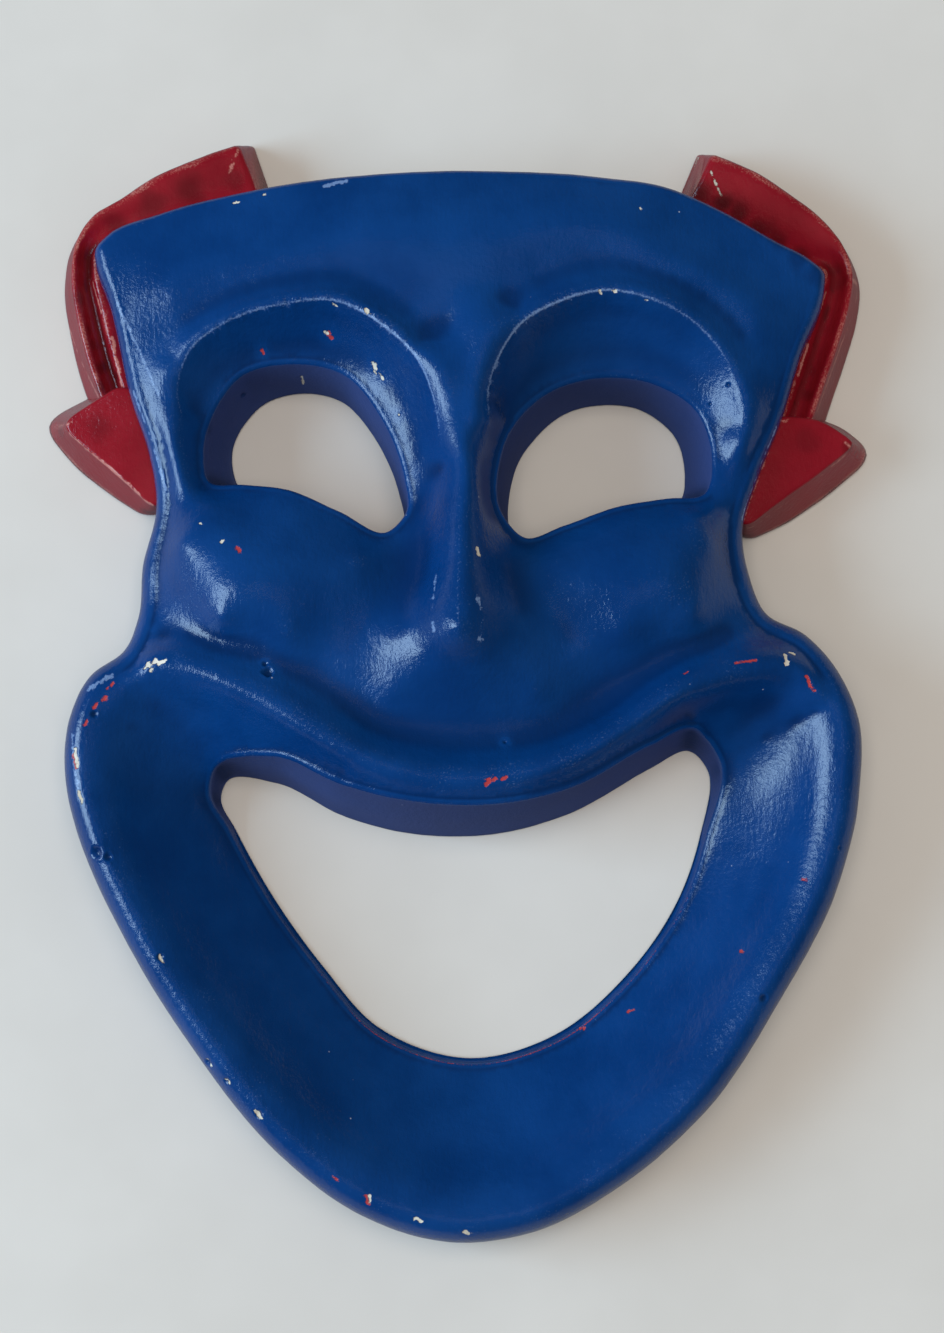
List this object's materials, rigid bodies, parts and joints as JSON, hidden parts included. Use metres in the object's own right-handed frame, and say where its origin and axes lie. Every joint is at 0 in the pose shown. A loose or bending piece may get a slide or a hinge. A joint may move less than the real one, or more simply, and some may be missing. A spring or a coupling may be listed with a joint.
{
  "type": "theater mask",
  "caption": "Laughing comedy theatre mask with carved cheeks and brows, open eyes and a wide open mouth, and a ribbon at each side of the forehead.",
  "frame": {"origin": "middle of the bounding box in plan, on the flat back that the mask lies on", "axes": "+X towards the viewer's right across the face, +Y from the chin to the forehead, +Z out of the front of the face"},
  "size_m": [0.179, 0.2386, 0.043],
  "materials": {
    "painted_plaster": "gloss"
  },
  "bodies": {
    "root": {"mask": "painted_plaster"}
  },
  "joints": []
}
